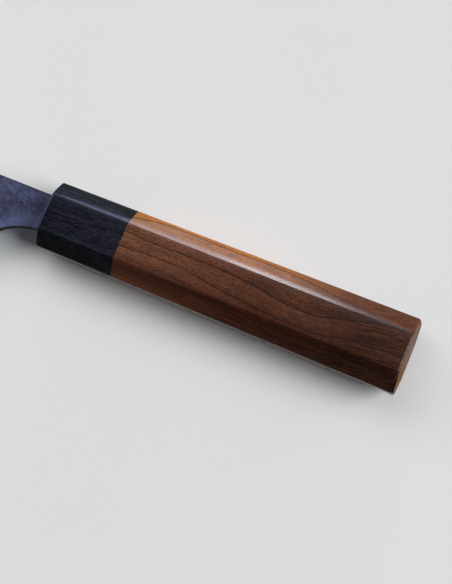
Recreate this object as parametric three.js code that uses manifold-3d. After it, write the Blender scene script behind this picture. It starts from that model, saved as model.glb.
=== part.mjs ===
// A gyuto, the long all-round Japanese kitchen knife, with a three-layer blade and an octagonal wooden handle.
// Sizes are in millimetres. The knife lies on its right side: the butt is at +X, the tip at -X, the spine at +Y,
// the cutting edge at -Y, and +Z is up. Each piece is drawn with x = 0 at the front face of the ferrule and
// y = z = 0 on the middle line of the handle, and the whole knife is then set down with its origin under its middle.

import * as THREE from 'three';
import { mergeVertices } from 'three/addons/utils/BufferGeometryUtils.js';
import Module from 'manifold-3d';

// Handle: a tapered octagon, larger at the butt
const HANDLE_LENGTH = 134.2;
const FERRULE_LENGTH = 30;
const FRONT_HEIGHT = 24.2;
const FRONT_THICKNESS = 19.2;
const FRONT_BEVEL_HEIGHT = 5.5;
const FRONT_BEVEL_THICKNESS = 5.05;
const BUTT_HEIGHT = 26.2;
const BUTT_THICKNESS = 21;
const BUTT_BEVEL_HEIGHT = 6.5;
const BUTT_BEVEL_THICKNESS = 6.05;
const LONG_EDGE_EASING = 0.7;
const FRONT_ROUNDING = 0.5;
const BUTT_ROUNDING = 0.4;

// Blade: profile
const EDGE_LENGTH = 210;
const HEEL_HEIGHT = 47;
const NECK_HEIGHT = 13.6;
const NECK_RISE = 0.08;
const NECK_LENGTH = 1.9;
const CHOIL_RADIUS = 24.6;
const TIP_DROP = 16;
const SPINE_FALL_LENGTH = 107;
const SPINE_FALL_START = 55;
const SPINE_FALL_END = 22;
const SPINE_FALL_END_DROP = 4.5;
const EDGE_FLAT_LENGTH = 90;
const BELLY_LENGTH = 45;
const BELLY_RISE = 3;

// Blade: thickness and layers
const BLADE_THICKNESS = 3.4;
const TIP_THICKNESS = 1.4;
const CORE_THICKNESS = 0.9;
const BEVEL_HEIGHT = 18;
const TIP_BEVEL_HEIGHT = 13;
const CUTTING_BEVEL_HEIGHT = 0.9;
const CUTTING_BEVEL_THICKNESS = 0.4;

// Tang and how it is held
const SHOULDER_DEPTH = 4;
const MOUTH_LAND = 2;
const SEAL_WALL = 0.5;
const SEAL_RECESS = 0.4;
const TANG_ROOT_HEIGHT = 8;
const TANG_END_HEIGHT = 5;
const TANG_SETBACK = 37;
const ADHESIVE_WALL = 0.5;
const DOWEL_WALL = 1;
const DOWEL_BACK = 8;
const DOWEL_END_GAP = 0.5;
const FIT_CLEARANCE = 0.3;

// How finely the curves are drawn, and how far a cutting body runs past what it cuts
const ROUNDING_STEPS = 4;
const EASING_STEPS = 3;
const ARC_STEPS = 18;
const PROFILE_STEPS = 20;
const BORE_SIDES = 40;
const OVERRUN = 5;

// Places that follow from the sizes
const spineY = NECK_RISE + NECK_HEIGHT / 2;
const neckBottomY = NECK_RISE - NECK_HEIGHT / 2;
const heelX = -NECK_LENGTH - CHOIL_RADIUS;
const heelY = spineY - HEEL_HEIGHT;
const tipX = heelX - EDGE_LENGTH;
const tipY = spineY - TIP_DROP;
const sideZ = BLADE_THICKNESS / 2;
const coreZ = CORE_THICKNESS / 2;
const tangEndX = HANDLE_LENGTH - TANG_SETBACK;
const mouthBackX = SHOULDER_DEPTH + MOUTH_LAND;
const slotMargin = FIT_CLEARANCE + ADHESIVE_WALL + FIT_CLEARANCE;
const slotZ = sideZ + ADHESIVE_WALL;
const slotReach = Math.hypot(TANG_ROOT_HEIGHT / 2 + slotMargin + NECK_RISE, slotZ);
const dowelRadius = slotReach + DOWEL_WALL;
const dowelBackX = tangEndX + slotMargin + DOWEL_BACK;
const boreRadius = dowelRadius + FIT_CLEARANCE;
const boreBackX = dowelBackX + DOWEL_END_GAP;

const { lerp } = THREE.MathUtils;
const wasm = await Module();
wasm.setup();

// A closed geometry as a body that can be cut and joined
function toSolid(geometry) {
  geometry.deleteAttribute('normal');
  geometry.deleteAttribute('uv');
  const welded = mergeVertices(geometry);
  const vertProperties = new Float32Array(welded.attributes.position.array);
  const triVerts = new Uint32Array(welded.index.array);
  return new wasm.Manifold(new wasm.Mesh({ numProp: 3, vertProperties, triVerts }));
}

function toGeometry(solid) {
  const { vertProperties, triVerts } = solid.getMesh();
  const geometry = new THREE.BufferGeometry();
  geometry.setAttribute('position', new THREE.BufferAttribute(vertProperties, 3));
  geometry.setIndex(new THREE.BufferAttribute(triVerts, 1));
  return geometry;
}

// A body through convex rings of points that go anticlockwise about X, listed towards +X
function loft(rings) {
  const count = rings[0].length;
  const geometry = new THREE.BufferGeometry().setFromPoints(rings.flat());
  const index = [];
  for (let ring = 0; ring < rings.length - 1; ring++) {
    for (let i = 0; i < count; i++) {
      const a = ring * count + i;
      const b = ring * count + ((i + 1) % count);
      index.push(a, b, b + count, a, b + count, a + count);
    }
  }
  const last = (rings.length - 1) * count;
  for (let i = 1; i < count - 1; i++) {
    index.push(0, i + 1, i);
    index.push(last, last + i, last + i + 1);
  }
  geometry.setIndex(index);
  return geometry;
}

// A flat outline in X and Y, made a plate between two heights
function plate(outline, lowZ, highZ) {
  const geometry = new THREE.ExtrudeGeometry(outline, {
    depth: highZ - lowZ,
    bevelEnabled: false,
    curveSegments: ARC_STEPS,
  });
  return toSolid(geometry.translate(0, 0, lowZ));
}

function block(fromX, toX, lowY, highY, lowZ, highZ) {
  const geometry = new THREE.BoxGeometry(toX - fromX, highY - lowY, highZ - lowZ);
  return toSolid(geometry.translate((fromX + toX) / 2, (lowY + highY) / 2, (lowZ + highZ) / 2));
}

function rod(radius, fromX, toX) {
  const geometry = new THREE.CylinderGeometry(radius, radius, toX - fromX, BORE_SIDES);
  return toSolid(geometry.rotateZ(Math.PI / 2).translate((fromX + toX) / 2, 0, 0));
}

// One octagonal section of the handle, drawn in on every side by an inset, with its long edges eased
function handleSection(x, inset) {
  const share = x / HANDLE_LENGTH;
  const halfHeight = lerp(FRONT_HEIGHT, BUTT_HEIGHT, share) / 2 - inset;
  const halfThickness = lerp(FRONT_THICKNESS, BUTT_THICKNESS, share) / 2 - inset;
  const fullBevelHeight = lerp(FRONT_BEVEL_HEIGHT, BUTT_BEVEL_HEIGHT, share);
  const fullBevelThickness = lerp(FRONT_BEVEL_THICKNESS, BUTT_BEVEL_THICKNESS, share);
  const slope = fullBevelHeight / fullBevelThickness;
  const bevelHeight = fullBevelHeight + inset * (Math.hypot(1, slope) - slope - 1);
  const bevelThickness = bevelHeight / slope;
  const quarter = [
    [halfHeight, halfThickness - bevelThickness],
    [halfHeight - bevelHeight, halfThickness],
  ];
  const mirrored = quarter.map(([y, z]) => [-y, z]).reverse();
  const upper = [...quarter, ...mirrored];
  const corners = [...upper, ...upper.map(([y, z]) => [-y, -z])].map(([y, z]) => new THREE.Vector2(y, z));

  const outline = new THREE.Path();
  corners.forEach((corner, i) => {
    const before = corners.at(i - 1).clone().sub(corner).setLength(LONG_EDGE_EASING).add(corner);
    const after = corners[(i + 1) % corners.length].clone().sub(corner).setLength(LONG_EDGE_EASING).add(corner);
    if (i === 0) outline.moveTo(before.x, before.y);
    else outline.lineTo(before.x, before.y);
    outline.quadraticCurveTo(corner.x, corner.y, after.x, after.y);
  });
  return outline.getPoints(EASING_STEPS).map((point) => new THREE.Vector3(x, point.x, point.y));
}

// Where a rounded end leaves its flat face: steps along the handle, each with its inset
function roundedEnd(radius) {
  return Array.from({ length: ROUNDING_STEPS + 1 }, (_, i) => {
    const angle = (i / ROUNDING_STEPS) * (Math.PI / 2);
    return { depth: radius * (1 - Math.cos(angle)), inset: radius * (1 - Math.sin(angle)) };
  });
}

// Profile of the blade and tang. It runs past the cutting edge, which the grinding makes
function bladeOutline() {
  const lowY = Math.min(heelY, neckBottomY - CHOIL_RADIUS) - OVERRUN;
  const fallEnd = new THREE.Vector2(tipX + SPINE_FALL_END, spineY - SPINE_FALL_END_DROP);
  const tip = new THREE.Vector2(tipX, tipY);
  const pastTip = tip.clone().sub(fallEnd).setLength(OVERRUN).add(tip);
  const outline = new THREE.Shape();
  outline.moveTo(tangEndX, NECK_RISE - TANG_END_HEIGHT / 2);
  outline.lineTo(tangEndX, NECK_RISE + TANG_END_HEIGHT / 2);
  outline.lineTo(SHOULDER_DEPTH, NECK_RISE + TANG_ROOT_HEIGHT / 2);
  outline.lineTo(SHOULDER_DEPTH, spineY);
  outline.lineTo(tipX + SPINE_FALL_LENGTH, spineY);
  outline.bezierCurveTo(tipX + SPINE_FALL_START, spineY, fallEnd.x, fallEnd.y, tip.x, tip.y);
  outline.lineTo(pastTip.x, pastTip.y);
  outline.lineTo(pastTip.x, lowY);
  outline.lineTo(heelX, lowY);
  outline.lineTo(heelX, neckBottomY - CHOIL_RADIUS);
  outline.absarc(-NECK_LENGTH, neckBottomY - CHOIL_RADIUS, CHOIL_RADIUS, Math.PI, Math.PI / 2, true);
  outline.lineTo(SHOULDER_DEPTH, neckBottomY);
  outline.lineTo(SHOULDER_DEPTH, NECK_RISE - TANG_ROOT_HEIGHT / 2);
  outline.closePath();
  return outline;
}

// Cross-section of the ground blade: flat sides, a wide bevel down to the edge, and the narrow cutting bevel
function grindSection(x, edgeY, bevelHeight) {
  const flatZ = x > 0 ? sideZ : lerp(sideZ, TIP_THICKNESS / 2, x / tipX);
  const side = [
    [spineY + OVERRUN, flatZ],
    [edgeY + bevelHeight, flatZ],
    [edgeY + CUTTING_BEVEL_HEIGHT, CUTTING_BEVEL_THICKNESS / 2],
  ];
  const otherSide = side.map(([y, z]) => [y, -z]).reverse();
  return [...side, [edgeY, 0], ...otherSide].map(([y, z]) => new THREE.Vector3(x, y, z));
}

// The ground body, from past the tip to past the end of the tang
function grindBody() {
  const edge = new THREE.CubicBezierCurve(
    new THREE.Vector2(tipX, tipY),
    new THREE.Vector2(tipX + BELLY_LENGTH, heelY + BELLY_RISE),
    new THREE.Vector2(heelX - EDGE_FLAT_LENGTH, heelY),
    new THREE.Vector2(heelX, heelY),
  );
  const along = edge.getPoints(PROFILE_STEPS).map((point, i) => ({
    x: point.x,
    edgeY: point.y,
    bevelHeight: lerp(TIP_BEVEL_HEIGHT, BEVEL_HEIGHT, i / PROFILE_STEPS),
  }));
  const tipSlope = edge.getTangent(0);
  const pastTip = {
    x: tipX - OVERRUN,
    edgeY: tipY - OVERRUN * (tipSlope.y / tipSlope.x),
    bevelHeight: TIP_BEVEL_HEIGHT,
  };
  const behindHeel = [0, tangEndX + OVERRUN].map((x) => ({ x, edgeY: heelY, bevelHeight: BEVEL_HEIGHT }));
  const stations = [pastTip, ...along, ...behindHeel];
  return toSolid(loft(stations.map((at) => grindSection(at.x, at.edgeY, at.bevelHeight))));
}

// The tang's taper, let out on its long edges and its end by a margin, from a given x
function tangOutline(fromX, margin) {
  const root = TANG_ROOT_HEIGHT / 2 + margin;
  const end = TANG_END_HEIGHT / 2 + margin;
  const outline = new THREE.Shape();
  outline.moveTo(fromX, NECK_RISE - root);
  outline.lineTo(tangEndX + margin, NECK_RISE - end);
  outline.lineTo(tangEndX + margin, NECK_RISE + end);
  outline.lineTo(fromX, NECK_RISE + root);
  outline.closePath();
  return outline;
}

// Three layers of the blade: a hard core that makes the edge, between two softer sides
const ground = grindBody();
const profile = bladeOutline();
const outerZ = sideZ + OVERRUN;
const coreSteel = ground.intersect(plate(profile, -coreZ, coreZ));
const leftCladding = ground.intersect(plate(profile, coreZ, outerZ));
const rightCladding = ground.intersect(plate(profile, -outerZ, -coreZ));

// The slot that the neck goes through, and the bead of sealant round the neck in it
const mouthLowY = neckBottomY - SEAL_WALL;
const mouthHighY = spineY + SEAL_WALL;
const mouthZ = sideZ + SEAL_WALL;
const neckHole = block(-OVERRUN, mouthBackX, neckBottomY, spineY, -sideZ, sideZ);
const seal = block(SEAL_RECESS, SHOULDER_DEPTH, mouthLowY, mouthHighY, -mouthZ, mouthZ).subtract(neckHole);

// Ferrule: the black wooden collar, with the mouth in its front wall and the dowel's bore behind
const frontEnd = roundedEnd(FRONT_ROUNDING).map(({ depth, inset }) => handleSection(depth, inset));
const mouth = block(-OVERRUN, mouthBackX + OVERRUN, mouthLowY, mouthHighY, -mouthZ, mouthZ);
const ferrule = toSolid(loft([...frontEnd, handleSection(FERRULE_LENGTH, 0)]))
  .subtract(mouth)
  .subtract(rod(boreRadius, mouthBackX, FERRULE_LENGTH + OVERRUN));

// Handle body: the long wooden grip, bored blind from the front
const buttEnd = roundedEnd(BUTT_ROUNDING)
  .map(({ depth, inset }) => handleSection(HANDLE_LENGTH - depth, inset))
  .reverse();
const handleBody = toSolid(loft([handleSection(FERRULE_LENGTH, 0), ...buttEnd]))
  .subtract(rod(boreRadius, FERRULE_LENGTH - OVERRUN, boreBackX));

// Dowel: a round stick in two halves, slotted for the tang, that joins the ferrule to the handle body
const slotFrontX = mouthBackX - OVERRUN;
const slot = plate(tangOutline(slotFrontX, slotMargin), -slotZ, slotZ);
const dowel = rod(dowelRadius, mouthBackX, dowelBackX).subtract(slot);
const dowelBox = dowelRadius + OVERRUN;
const leftHalf = block(0, dowelBackX + OVERRUN, -dowelBox, dowelBox, 0, dowelBox);
const rightHalf = block(0, dowelBackX + OVERRUN, -dowelBox, dowelBox, -dowelBox, 0);

// Adhesive: a sheath in the slot, open at the front, that the tang is bedded in
const sheath = plate(tangOutline(mouthBackX, FIT_CLEARANCE + ADHESIVE_WALL), -slotZ, slotZ);
const tangRoom = plate(tangOutline(slotFrontX, FIT_CLEARANCE), -sideZ, sideZ);

// Surface of each piece
const scaleFinish = { color: 0x3d4052, roughness: 0.5, metalness: 0.8 };
const woodFinish = { color: 0x5f3d2c, roughness: 0.4, metalness: 0 };
const blackFinish = { color: 0x1f1f26, roughness: 0.35, metalness: 0 };
const steelFinish = { color: 0xb9bcc2, roughness: 0.3, metalness: 1 };
const dowelFinish = { color: 0xc8a878, roughness: 0.7, metalness: 0 };
const resinFinish = { color: 0xc79a4b, roughness: 0.3, metalness: 0 };
const sealFinish = { color: 0x26262b, roughness: 0.5, metalness: 0 };

const pieces = [
  ['core_steel', coreSteel, steelFinish],
  ['left_cladding', leftCladding, scaleFinish],
  ['right_cladding', rightCladding, scaleFinish],
  ['mouth_seal', seal, sealFinish],
  ['ferrule', ferrule, blackFinish],
  ['handle_body', handleBody, woodFinish],
  ['left_dowel_half', dowel.intersect(leftHalf), dowelFinish],
  ['right_dowel_half', dowel.intersect(rightHalf), dowelFinish],
  ['tang_adhesive', sheath.subtract(tangRoom), resinFinish],
];

const knife = new THREE.Group();
for (const [name, solid, finish] of pieces) {
  const mesh = new THREE.Mesh(toGeometry(solid), new THREE.MeshStandardMaterial(finish));
  mesh.name = name;
  knife.add(mesh);
}

// Set down so that the origin is under the middle of the knife, on the surface that it lies on
const box = new THREE.Box3().setFromObject(knife);
const middle = box.getCenter(new THREE.Vector3());
knife.position.set(-middle.x, -middle.y, -box.min.z);

export default knife;
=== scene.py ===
# %% [markdown]
# # A gyuto with an octagonal handle
# This lesson dresses a plain CAD model of a Japanese chef's knife. The knife lies on its side: +X runs
# along the handle to the butt, +Y towards the spine of the blade, and +Z is up. The CAD model is the
# frame: every piece made here sits where the CAD says, in metres, so nothing has to be fitted by eye.

# %% Load the frame
import math

import bmesh
import bpy
from mathutils import Matrix, Vector


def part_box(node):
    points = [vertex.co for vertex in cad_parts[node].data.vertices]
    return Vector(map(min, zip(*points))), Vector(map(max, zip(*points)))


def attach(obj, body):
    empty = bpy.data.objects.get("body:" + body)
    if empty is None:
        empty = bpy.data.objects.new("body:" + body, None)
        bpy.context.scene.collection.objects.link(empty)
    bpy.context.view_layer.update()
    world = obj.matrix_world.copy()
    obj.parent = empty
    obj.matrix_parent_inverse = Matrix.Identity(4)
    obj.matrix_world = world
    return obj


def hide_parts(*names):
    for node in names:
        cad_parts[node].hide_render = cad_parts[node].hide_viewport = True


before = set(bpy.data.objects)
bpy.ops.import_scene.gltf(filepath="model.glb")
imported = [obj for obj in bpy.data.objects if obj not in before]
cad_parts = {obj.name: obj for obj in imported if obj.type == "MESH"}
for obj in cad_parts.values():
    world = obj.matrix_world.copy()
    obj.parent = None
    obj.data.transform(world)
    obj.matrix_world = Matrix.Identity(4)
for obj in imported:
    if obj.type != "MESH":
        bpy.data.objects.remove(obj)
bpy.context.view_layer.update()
print("CAD nodes:", ", ".join(sorted(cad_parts)))

# %% [markdown]
# ## Sizes that the pieces share
# The handle is a bar of eight sides that grows a little from the collar to the butt. A section of it
# needs four numbers: its height, its thickness, and how far the slanted sides cut into each. The
# sections at the two ends are written down once, and every section between them is a blend.

# %% Measure the handle
MM = 0.001
FRONT_SECTION = Vector((24.2, 19.2, 5.5, 5.05)) * MM
BUTT_SECTION = Vector((26.2, 21.0, 6.5, 6.05)) * MM

collar_low, collar_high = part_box("ferrule")
grip_low, grip_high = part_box("handle_body")
FRONT_X = collar_low.x
JOINT_X = collar_high.x
BUTT_X = grip_high.x
HANDLE_LENGTH = BUTT_X - FRONT_X
AXIS = (grip_low + grip_high) / 2
AXIS.x = FRONT_X
print("handle", round(HANDLE_LENGTH / MM, 1), "mm, collar", round((JOINT_X - FRONT_X) / MM, 1), "mm")

# %% [markdown]
# ## The camera
# The photograph was taken from above and behind the butt, with the camera turned so that the knife
# falls across the picture. The place and the two directions come from fitting a camera to the corners
# of the handle. A matrix whose columns are right, up and backwards is all that a camera needs.

# %% Set up the camera
CAMERA_PLACE = AXIS + Vector((160.8, -35.3, 389.2)) * MM
LOOKS_ALONG = Vector((-0.2292, 0.0828, -0.9698)).normalized()
PICTURE_UP = Vector((-0.3621, 0.9176, 0.1639)).normalized()
LENS = 72.31
NEAREST_SEEN = 0.01

camera = bpy.data.objects.new("camera", bpy.data.cameras.new("camera"))
camera.data.lens = LENS
camera.data.clip_start = NEAREST_SEEN
bpy.context.scene.collection.objects.link(camera)
picture_right = LOOKS_ALONG.cross(PICTURE_UP).normalized()
columns = Matrix((picture_right, picture_right.cross(LOOKS_ALONG), -LOOKS_ALONG)).transposed()
camera.matrix_world = Matrix.Translation(CAMERA_PLACE) @ columns.to_4x4()
bpy.context.scene.camera = camera
bpy.context.scene.view_settings.view_transform = "Standard"
print("camera", round((CAMERA_PLACE - AXIS).length, 3), "m from the collar")

# %% [markdown]
# ## Light
# Most of the light is soft daylight from beyond the butt, about a third of the way up the sky. Low
# behind the spine stand the windows. They add little light, but the slanted side next to the spine
# mirrors them, which draws the long highlight on the handle. All the lamps are suns, because a sun
# lights the floor evenly and a wide angle makes its shadow soft. A dim, warm grey world fills the rest.

# %% Set up the light
# name, degrees from +Y towards +X, degrees above the floor, width in degrees, strength, colour
DAYLIGHT = [
    ("window", -11.4, 7.6, 6.5, 0.205, (0.86, 0.92, 1.0)),
    ("window_side", -15, 7.8, 8, 0.125, (0.84, 0.89, 0.95)),
    ("window_far", -19.3, 9.4, 7.5, 0.142, (0.66, 0.75, 1.0)),
    ("window_near", -6, 8.0, 7, 0.032, (0.74, 0.86, 1.0)),
    ("window_wall", -15, 6, 20, 0.09, (0.76, 0.87, 1.0)),
    ("main", 75, 35, 40, 3.45, (0.945, 0.98, 1.0)),
    ("right", 45, 22, 30, 0.4, (0.95, 0.98, 1.0)),
    ("left", -62, 43, 42, 0.70, (1.0, 0.96, 0.93)),
    ("top", -20, 60, 36, 0.40, (1.0, 0.96, 0.93)),
    ("fill", -140, 45, 34, 0.08, (1.0, 0.90, 0.82)),
]
SKY_COLOUR = (0.028, 0.025, 0.023, 1)

for name, bearing, height, width, strength, colour in DAYLIGHT:
    lamp = bpy.data.objects.new(name, bpy.data.lights.new(name, "SUN"))
    lamp.data.energy = strength
    lamp.data.angle = math.radians(width)
    lamp.data.color = colour
    level = math.cos(math.radians(height))
    towards = Vector((math.sin(math.radians(bearing)) * level, math.cos(math.radians(bearing)) * level,
                      math.sin(math.radians(height))))
    lamp.matrix_world = towards.to_track_quat("Z", "Y").to_matrix().to_4x4()
    bpy.context.scene.collection.objects.link(lamp)

world = bpy.data.worlds.new("room")
world.use_nodes = True
world.node_tree.nodes["Background"].inputs["Color"].default_value = SKY_COLOUR
bpy.context.scene.world = world
print(len(DAYLIGHT), "lamps")

# %% [markdown]
# ## Short names for shader nodes
# A procedural finish is a small graph of nodes. These helpers add a node and wire it up in one line, so
# that the recipe of each finish can be read from top to bottom. A value that is a socket is linked, and
# any other value is written into the input.

# %% Helpers for nodes
def put(socket, value):
    if isinstance(value, bpy.types.NodeSocket):
        socket.id_data.links.new(value, socket)
    elif value is not None:
        socket.default_value = value


def fill(made, inputs):
    """Puts a value or a link into each named input of a node."""
    for name, value in inputs.items():
        put(made.inputs[name], value)


def node(tree, kind, inputs=None, **settings):
    made = tree.nodes.new("ShaderNode" + kind)
    for name, value in settings.items():
        setattr(made, name, value)
    fill(made, inputs or {})
    return made


def maths(tree, operation, first, second=None, third=None):
    return node(tree, "Math", {0: first, 1: second, 2: third}, operation=operation).outputs[0]


def spread(tree, value, low, high, to_low=0.0, to_high=1.0, smooth=False):
    """Carries a value from one range to another and stops it at the ends."""
    return node(tree, "MapRange", {"Value": value, 1: low, 2: high, 3: to_low, 4: to_high},
                interpolation_type="SMOOTHSTEP" if smooth else "LINEAR").outputs[0]


def wave(tree, value, points):
    """A smooth curve through (along, height) points, in millimetres."""
    alongs, heights = [p[0] for p in points], [p[1] for p in points]
    first, last, low, high = alongs[0], alongs[-1], min(heights), max(heights)
    share = spread(tree, value, first, last)
    made = node(tree, "FloatCurve", {"Value": share})
    curve = made.mapping.curves[0]
    for place, point in zip((points[0], points[-1]), (curve.points[0], curve.points[-1])):
        point.location = ((place[0] - first) / (last - first), (place[1] - low) / (high - low))
    for along, height in points[1:-1]:
        curve.points.new((along - first) / (last - first), (height - low) / (high - low))
    made.mapping.update()
    return maths(tree, "MULTIPLY_ADD", made.outputs[0], high - low, low)


def noise(tree, place, stretch, detail=3.0, roughness=0.55):
    """Noise whose lumps are as long as stretch says along each axis, in millimetres."""
    scaled = node(tree, "Mapping", {"Vector": place, "Scale": [1 / size for size in stretch]}).outputs[0]
    return node(tree, "TexNoise", {"Vector": scaled, "Scale": 1.0, "Detail": detail,
                                   "Roughness": roughness}).outputs["Fac"]


print("helpers for values ready")

# %% [markdown]
# Colours need helpers too. Most layers of a finish don't paint over what is below but darken or lighten
# it, so the helpers that multiply are the ones used most. Every finish starts from the same place: the
# distance in millimetres from the middle of the collar's front, so that sizes can be read off the knife.

# %% Helpers for colours
def grey(level):
    return (level, level, level)


def mix(tree, share, first, second, blend="MIX"):
    made = node(tree, "Mix", {0: share, 6: first, 7: second}, data_type="RGBA", blend_type=blend)
    return made.outputs[2]


def ramp(tree, value, stops):
    """A colour ramp through (place, colour) stops."""
    made = node(tree, "ValToRGB", {"Fac": value})
    elements = made.color_ramp.elements
    elements[0].position, elements[0].color = stops[0][0], (*stops[0][1], 1)
    elements[1].position, elements[1].color = stops[-1][0], (*stops[-1][1], 1)
    for place, colour in stops[1:-1]:
        elements.new(place).color = (*colour, 1)
    return made.outputs["Color"]


def shade(tree, colour, by, share=1.0):
    """Multiplies a colour by another, in full or by a share."""
    return mix(tree, share, colour, by, "MULTIPLY")


def tone_by(tree, colour, value, stops, share=1.0):
    """Multiplies a colour by a ramp over a value, in full or by a share."""
    return shade(tree, colour, ramp(tree, value, stops), share)


def new_finish(name):
    """A material, its tree, its shader, and the place in millimetres from the front of the handle."""
    material = bpy.data.materials.new(name)
    material.use_nodes = True
    tree = material.node_tree
    place = node(tree, "Mapping", {"Vector": node(tree, "TexCoord").outputs["Object"],
                                   "Location": -AXIS / MM, "Scale": [1 / MM] * 3}).outputs[0]
    return material, tree, tree.nodes["Principled BSDF"], place


def bump(tree, height, depth, strength=1.0):
    """A normal from a height of 0 to 1 that stands for a depth in millimetres."""
    made = node(tree, "Bump", {"Height": height, "Distance": depth * MM, "Strength": strength})
    return made.outputs[0]


print("helpers for colours ready")

# %% [markdown]
# ## The floor
# A plain pale floor that the knife lies on. It is not part of the object, so it is marked as stage. A
# faint cloudiness keeps it from looking like paper.

# %% Lay the floor
FLOOR_SIZE = 40.0
FLOOR_COLOURS = ((0.72, 0.72, 0.715, 1), (0.76, 0.76, 0.755, 1))
FLOOR_CLOUDS = (60, 60, 60)

floor_mesh = bpy.data.meshes.new("floor")
shape = bmesh.new()
bmesh.ops.create_grid(shape, x_segments=1, y_segments=1, size=FLOOR_SIZE / 2)
shape.to_mesh(floor_mesh)
shape.free()
floor = bpy.data.objects.new("floor", floor_mesh)
bpy.context.scene.collection.objects.link(floor)

pale_floor, tree, shader, place = new_finish("pale_floor")
clouds = noise(tree, place, FLOOR_CLOUDS, detail=2)
fill(shader, {"Base Color": mix(tree, clouds, *FLOOR_COLOURS), "Roughness": 0.7})
floor_mesh.materials.append(pale_floor)
print("floor", FLOOR_SIZE, "m wide")

# %% [markdown]
# Behind the floor stands a backdrop as pale as the floor. The camera sees it whole, and polished steel
# and oiled wood mirror a part of it, but it adds no light, so the lamps alone decide how bright the
# knife is.

# %% Hang the backdrop
BACKDROP_COLOUR = (0.70, 0.70, 0.70, 1)
MIRRORED_SHARE = 0.15

tree = world.node_tree
rays = node(tree, "LightPath").outputs
straight = maths(tree, "MAXIMUM", rays["Is Camera Ray"], rays["Is Transmission Ray"])
seen = maths(tree, "MULTIPLY_ADD", rays["Is Glossy Ray"], MIRRORED_SHARE, straight)
put(tree.nodes["Background"].inputs["Color"], mix(tree, seen, SKY_COLOUR, BACKDROP_COLOUR))
print("backdrop", BACKDROP_COLOUR[:3])

# %% [markdown]
# ## The section of the handle
# An octagon could be drawn point by point, but a circle of eight segments already is one: its points
# only have to be moved to the corners. Bevelling the corner points rounds them over, as a maker does
# with fine paper. Each flat side then gets a crown of a tenth or two of a millimetre, because a side
# sanded by hand is never quite flat, and the crown is what lets a highlight fade across a side. No
# octagon cut by hand is quite even either: the lower corner of the left side sits a little high.

# %% Draw a section
EASING = 0.26 * MM
EASING_STEPS = 4
WIDE_CROWN = 0.10 * MM
SLANT_CROWN = 0.19 * MM
SLANT_WIDTH = 9.2 * MM
CROWN_STEPS = 11
SHORTEST_SIDE = 3 * MM
LOWER_CORNER = 2
LOWER_LIFT = 0.4 * MM
SAME_PLANE = 1e-6


def corners(distance):
    """The eight corners at a distance behind the front of the collar."""
    high, thick, cut_high, cut_thick = FRONT_SECTION.lerp(BUTT_SECTION, distance / HANDLE_LENGTH)
    high, thick = high / 2, thick / 2
    quarter = [(high, thick - cut_thick), (high - cut_high, thick)]
    half = quarter + [(-y, z) for y, z in reversed(quarter)]
    places = [AXIS + Vector((distance, y, z)) for y, z in half + [(-y, -z) for y, z in half]]
    places[LOWER_CORNER].y += LOWER_LIFT
    return places


def section(shape, distance):
    """An octagonal face with eased corners and crowned sides."""
    ring = bmesh.ops.create_circle(shape, cap_ends=True, segments=8, radius=1.0)["verts"]
    for point, corner in zip(ring, corners(distance)):
        point.co = corner
    face = ring[0].link_faces[0]
    face.normal_update()
    bmesh.ops.bevel(shape, geom=ring, offset=EASING, segments=EASING_STEPS, profile=0.5,
                    affect="VERTICES", material=-1)
    plane = FRONT_X + distance
    face = max((f for f in shape.faces if abs(f.calc_center_median().x - plane) < SAME_PLANE),
               key=lambda f: f.calc_area())
    centre = AXIS + Vector((distance, 0, 0))
    for side in [edge for edge in face.edges if edge.calc_length() > SHORTEST_SIDE]:
        start, end = (point.co.copy() for point in side.verts)
        outward = (start + end) / 2 - centre
        outward -= outward.project(end - start)
        width = (end - start).length
        crown, power = (SLANT_CROWN, 2) if width < SLANT_WIDTH else (WIDE_CROWN, 4)
        cut = bmesh.ops.subdivide_edges(shape, edges=[side], cuts=CROWN_STEPS)["geom_inner"]
        for point in (part for part in cut if isinstance(part, bmesh.types.BMVert)):
            share = (point.co - start).length / width
            point.co += outward.normalized() * crown * (1 - abs(2 * share - 1) ** power)
    return face


trial = bmesh.new()
print("a section has", len(section(trial, 0).verts), "points")
trial.free()

# %% [markdown]
# ## Bars, rounded ends and holes
# Both wooden pieces are a bar between two sections, with a rounded end and a hole in it. The bar is a
# bridge between the outlines of the two sections. The end could be rounded with a bevel, but a row of
# small insets, each one a little further in and a little further out, follows a quarter circle and keeps
# the rows of faces even. A hole is an outline that is filled round and then pushed inwards.

# %% Helpers for the wooden pieces
ROUNDING_STEPS = 5
BORE_SIDES = 48
END_MARGIN = 0.12 * MM
SAME_POINT = 1e-7


def bar(shape, start, end):
    """A solid bar between two sections. Returns its front and back faces."""
    front, back = section(shape, start), section(shape, end)
    bmesh.ops.bridge_loops(shape, edges=list(front.edges) + list(back.edges))
    for distance in (start + END_MARGIN, end - END_MARGIN):
        whole = shape.verts[:] + shape.edges[:] + shape.faces[:]
        bmesh.ops.bisect_plane(shape, geom=whole, dist=SAME_POINT, plane_co=(FRONT_X + distance, 0, 0),
                               plane_no=(1, 0, 0))
    bmesh.ops.recalc_face_normals(shape, faces=shape.faces)
    return front, back


def round_over(shape, face, radius):
    """Rounds the rim of an end face with insets that follow a quarter circle."""
    turns = [math.pi / 2 * step / ROUNDING_STEPS for step in range(ROUNDING_STEPS + 1)]
    for turn, following in zip(turns, turns[1:]):
        bmesh.ops.inset_region(shape, faces=[face], use_boundary=True, use_even_offset=True,
                               thickness=radius * (math.cos(turn) - math.cos(following)),
                               depth=radius * (math.sin(following) - math.sin(turn)))


def open_face(shape, face):
    """Takes a face away and returns the outline that it leaves."""
    outline = list(face.edges)
    bmesh.ops.delete(shape, geom=[face], context="FACES_ONLY")
    return outline


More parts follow.
